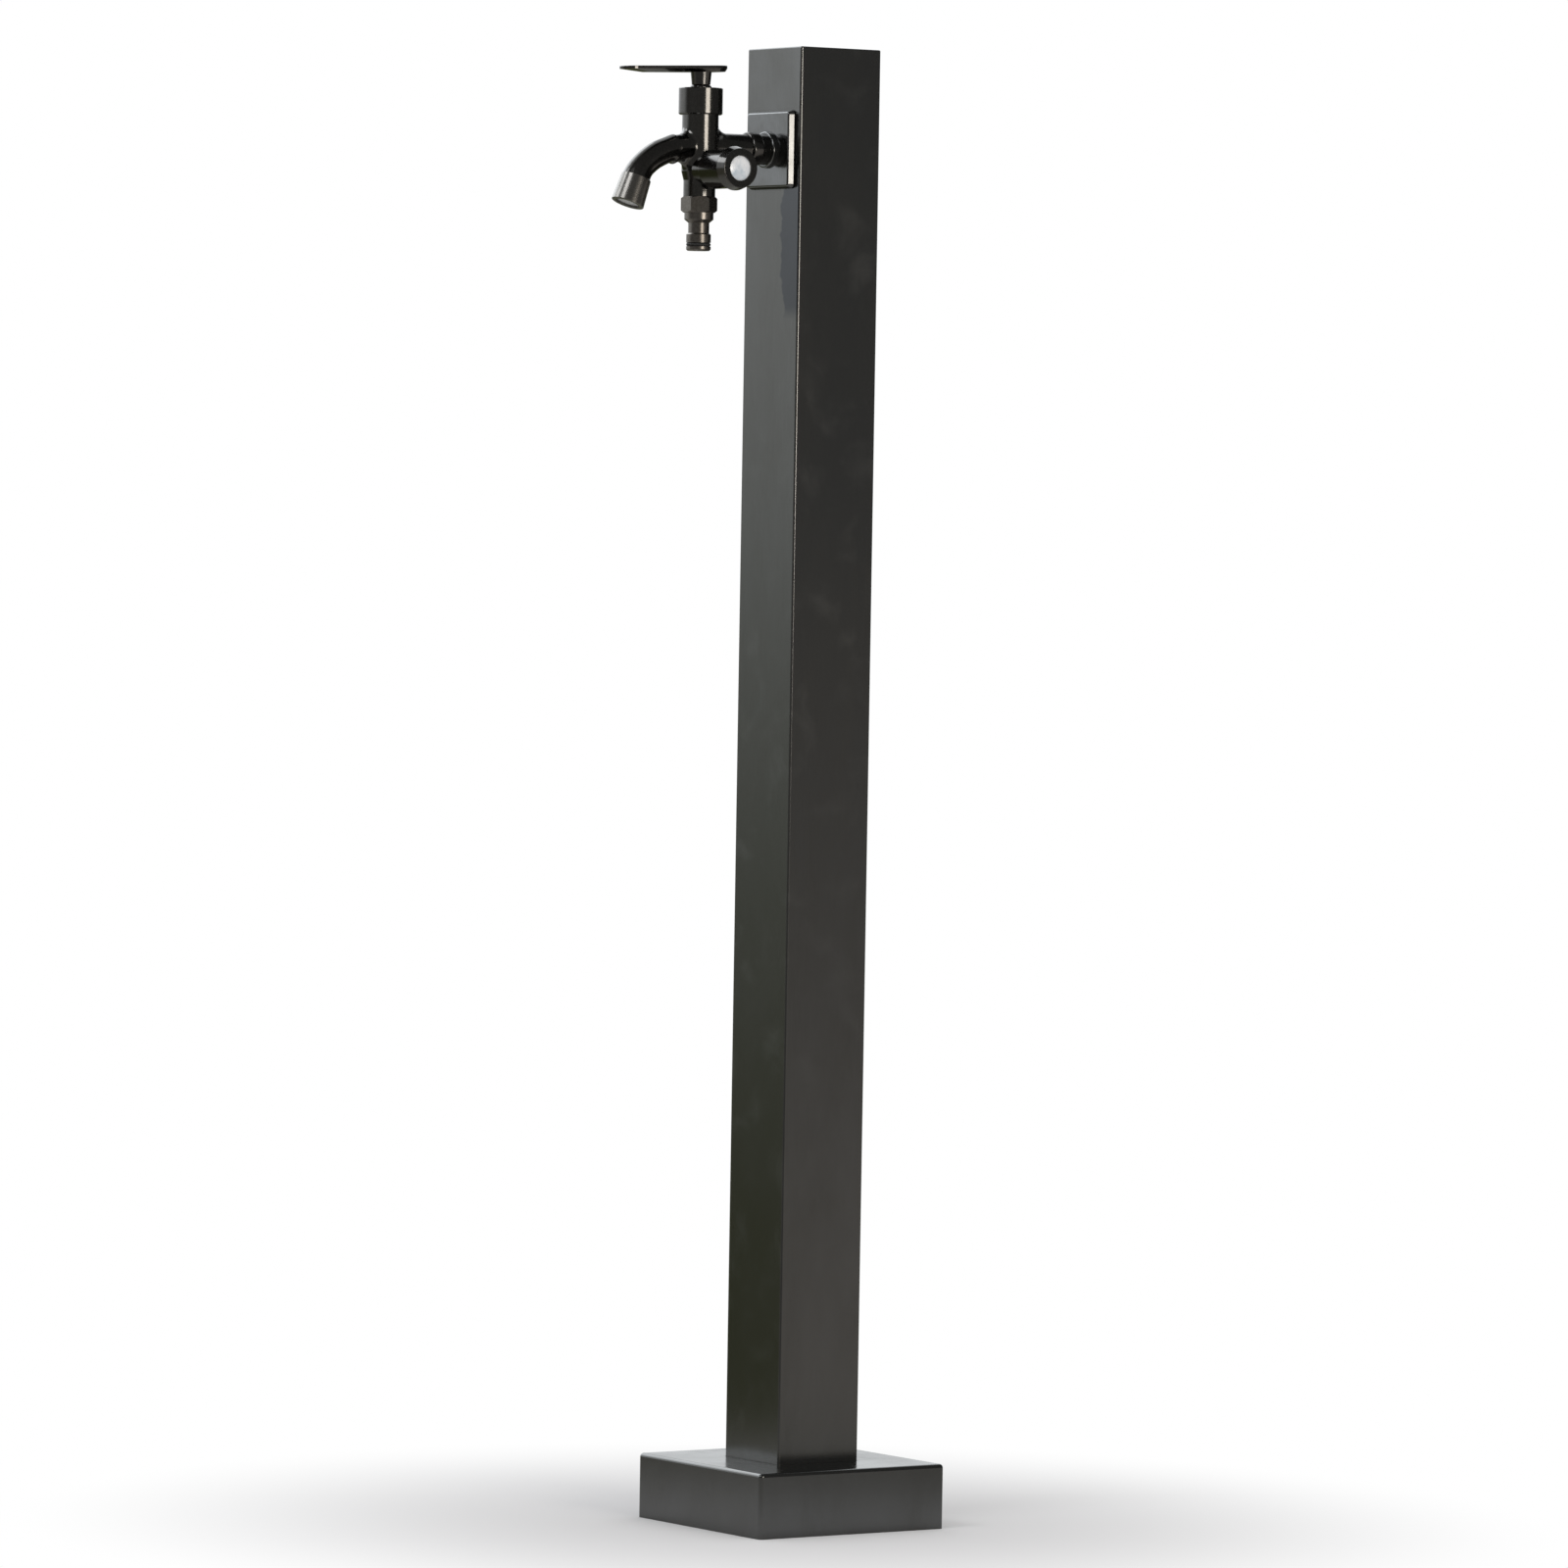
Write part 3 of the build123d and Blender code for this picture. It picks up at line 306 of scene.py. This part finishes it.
dress(post_metal("post_metal", painted_shade=0.0), "post_tube", "top_cap")
# The base cover: the post's steel darkened as painted shade
dress(post_metal("cover_metal_painted_shade", painted_shade=0.2), "base_cover")
dress(plate, "base_plate")
dress(tap, "tap_body", "bonnet_cap", "gland_nut", "lever_handle", "knob_grip", "knob_cap")
dress(connector, "hose_connector")
dress(flange_metal, "flange")
dress(nozzle, "spout_nozzle")
dress(index, "index_disc")
dress(steel, "elbow_screws", "lever_set_screw", "knob_screw", "aerator_screen")
dress(pipe, "supply_pipe")
dress(
    brass, "inlet_fitting", "pipe_nuts", "pipe_olives", "wall_elbow", "main_cartridge", "main_spindle",
    "side_cartridge", "side_spindle",
)
dress(ceramic, "main_fixed_disc", "main_moving_disc", "side_fixed_disc", "side_moving_disc")
dress(
    rubber, "flange_gasket", "main_spindle_ring", "main_seat_seal", "side_spindle_ring", "side_seat_seal",
    "nozzle_washer", "hose_seal_ring", "connector_washer",
)
dress(plastic, "aerator_body")


# Floor, world and lights

FLOOR_RADIUS = 0.6
FLOOR_SIDES = 96
FADE_START, FADE_END = 0.22 * FLOOR_RADIUS, 0.9 * FLOOR_RADIUS
FLOOR_SEEN, FLOOR_MIRRORED = (0.93, 0.93, 0.93), (0.75, 0.75, 0.75)
RIM_SEEN, RIM_MIRRORED = WHITE, (0.28, 0.27, 0.24)

# What metal mirrors: a pale wall that darkens towards its foot, pale ground under it, and a darker room
WALL_AZIMUTH, CAMERA_SIDE_AZIMUTH = 262, 35
WALL, WALL_FOOT, GROUND = (1.0, 1.03, 1.05), (0.09, 0.095, 0.045), (0.4, 0.4, 0.37)
ROOM, ROOM_FOOT, CAMERA_SIDE = (0.09, 0.09, 0.086), (0.42, 0.39, 0.36), (0.14, 0.138, 0.13)
SOFT_LIGHT = (0.64, 0.64, 0.65)

# Round bright panels that metal mirrors: the azimuth and elevation of the middle, the cosines at the edge
# and where the panel is full, and the colour
PANELS = [
    (274, 28, 0.915, 0.945, (2.6, 2.7, 2.8)),
    (320, 32, 0.978, 0.988, (3.4, 3.5, 3.6)),
]
TAP_PLACE = Vector((0, -0.05, 0.9))


def make_floor():
    """Pale round floor that fades into the white surroundings, and is darker where metal mirrors it."""
    corners = [
        (FLOOR_RADIUS * cos(2 * pi * n / FLOOR_SIDES), FLOOR_RADIUS * sin(2 * pi * n / FLOOR_SIDES), 0)
        for n in range(FLOOR_SIDES)
    ]
    mesh = bpy.data.meshes.new("floor")
    mesh.from_pydata(corners, [], [range(FLOOR_SIDES)])
    floor = bpy.data.objects.new("floor", mesh)
    bpy.context.scene.collection.objects.link(floor)
    material = bpy.data.materials.new("floor")
    t = Tree(material)
    distance = t.node("ShaderNodeVectorMath", {"operation": "LENGTH"})
    t.feed(distance.inputs[0], t.place())
    fade = t.ramp(distance.outputs["Value"], FADE_START, FADE_END)
    camera_ray = t.node("ShaderNodeLightPath").outputs["Is Camera Ray"]
    matt = t.node("ShaderNodeBsdfDiffuse", Color=t.mix(camera_ray, FLOOR_MIRRORED, FLOOR_SEEN))
    glow = t.node("ShaderNodeEmission", Color=t.mix(camera_ray, RIM_MIRRORED, RIM_SEEN), Strength=1.0)
    both = t.node("ShaderNodeMixShader")
    t.feed(both.inputs[0], fade)
    t.feed(both.inputs[1], matt.outputs[0])
    t.feed(both.inputs[2], glow.outputs[0])
    t.node("ShaderNodeOutputMaterial", Surface=both.outputs[0])
    mesh.materials.append(material)


def heading(azimuth, elevation=0):
    """Direction towards an azimuth and elevation in degrees: azimuth 0 is -Y, 90 is +X."""
    level = Vector((sin(radians(azimuth)), -cos(radians(azimuth)), 0))
    return level * cos(radians(elevation)) + Vector((0, 0, sin(radians(elevation))))


def make_world():
    """White to the camera, soft even light, and to the metal the wall, the room and the panels."""
    world = bpy.data.worlds.new("studio")
    bpy.context.scene.world = world
    t = Tree(world)
    direction = t.node("ShaderNodeTexCoord").outputs["Generated"]
    height = t.axes(direction)[2]

    def facing(azimuth, elevation, edge, full):
        return t.ramp(t.cosine(direction, heading(azimuth, elevation)), edge, full)

    rise = t.math("POWER", t.ramp(height, -0.07, 0.045, smooth=False), 1.8)
    wall = t.mix(rise, WALL_FOOT, WALL)
    wall = t.mix(t.ramp(height, -0.35, -0.6), wall, GROUND)
    room = t.mix(t.ramp(height, 0.0, -0.1), ROOM, ROOM_FOOT)
    room = t.mix(facing(CAMERA_SIDE_AZIMUTH, 0, 0.35, 0.9), room, CAMERA_SIDE)
    room = t.mix(facing(WALL_AZIMUTH, 0, 0.1, 0.62), room, wall)
    for azimuth, elevation, edge, full, colour in PANELS:
        room = t.mix(facing(azimuth, elevation, edge, full), room, colour)
    rays = t.node("ShaderNodeLightPath").outputs
    seen = t.math("MAXIMUM", rays["Is Camera Ray"], rays["Is Transmission Ray"])
    unseen = t.mix(rays["Is Glossy Ray"], SOFT_LIGHT, room)
    background = t.node("ShaderNodeBackground", Color=t.mix(seen, unseen, WHITE), Strength=1.0)
    t.node("ShaderNodeOutputWorld", Surface=background.outputs[0])


def make_lamp(name, azimuth, elevation, distance, width, height, radiance, colour):
    """Soft rectangular lamp that points at the tap, with its brightness given as the radiance of its face."""
    data = bpy.data.lights.new(name, "AREA")
    data.shape = "RECTANGLE"
    data.size, data.size_y = width, height
    data.energy = radiance * pi * width * height
    data.color = colour
    lamp = bpy.data.objects.new(name, data)
    bpy.context.scene.collection.objects.link(lamp)
    towards = heading(azimuth, elevation)
    lamp.location = TAP_PLACE + towards * distance
    lamp.rotation_mode = "QUATERNION"
    lamp.rotation_quaternion = (-towards).to_track_quat("-Z", "Y")
    lamp.visible_camera = False


def make_camera():
    """Camera at the photograph's place, turned by its azimuth, elevation and roll."""
    data = bpy.data.cameras.new("camera")
    data.sensor_width = SENSOR_WIDTH
    data.lens = SENSOR_WIDTH * FOCAL_PIXELS / PHOTO_PIXELS
    data.clip_start, data.clip_end = NEAR_LIMIT, FAR_LIMIT
    camera = bpy.data.objects.new("camera", data)
    bpy.context.scene.collection.objects.link(camera)
    back = heading(CAMERA_AZIMUTH, CAMERA_ELEVATION)
    level = heading(CAMERA_AZIMUTH + 90)
    upright = back.cross(level)
    roll = radians(CAMERA_ROLL)
    right = level * cos(roll) + upright * sin(roll)
    up = upright * cos(roll) - level * sin(roll)
    camera.matrix_world = Matrix.Translation(CAMERA_PLACE) @ Matrix((right, up, back)).transposed().to_4x4()
    bpy.context.scene.camera = camera


make_floor()
make_world()
make_lamp(
    "warm_side", azimuth=94, elevation=1, distance=2.2, width=0.85, height=0.5, radiance=7,
    colour=(1, 0.93, 0.83),
)
make_lamp(
    "sky_front", azimuth=12, elevation=32, distance=1.6, width=0.6, height=0.6, radiance=4,
    colour=(0.97, 0.98, 1),
)
make_camera()
bpy.context.scene.view_settings.view_transform = "Standard"
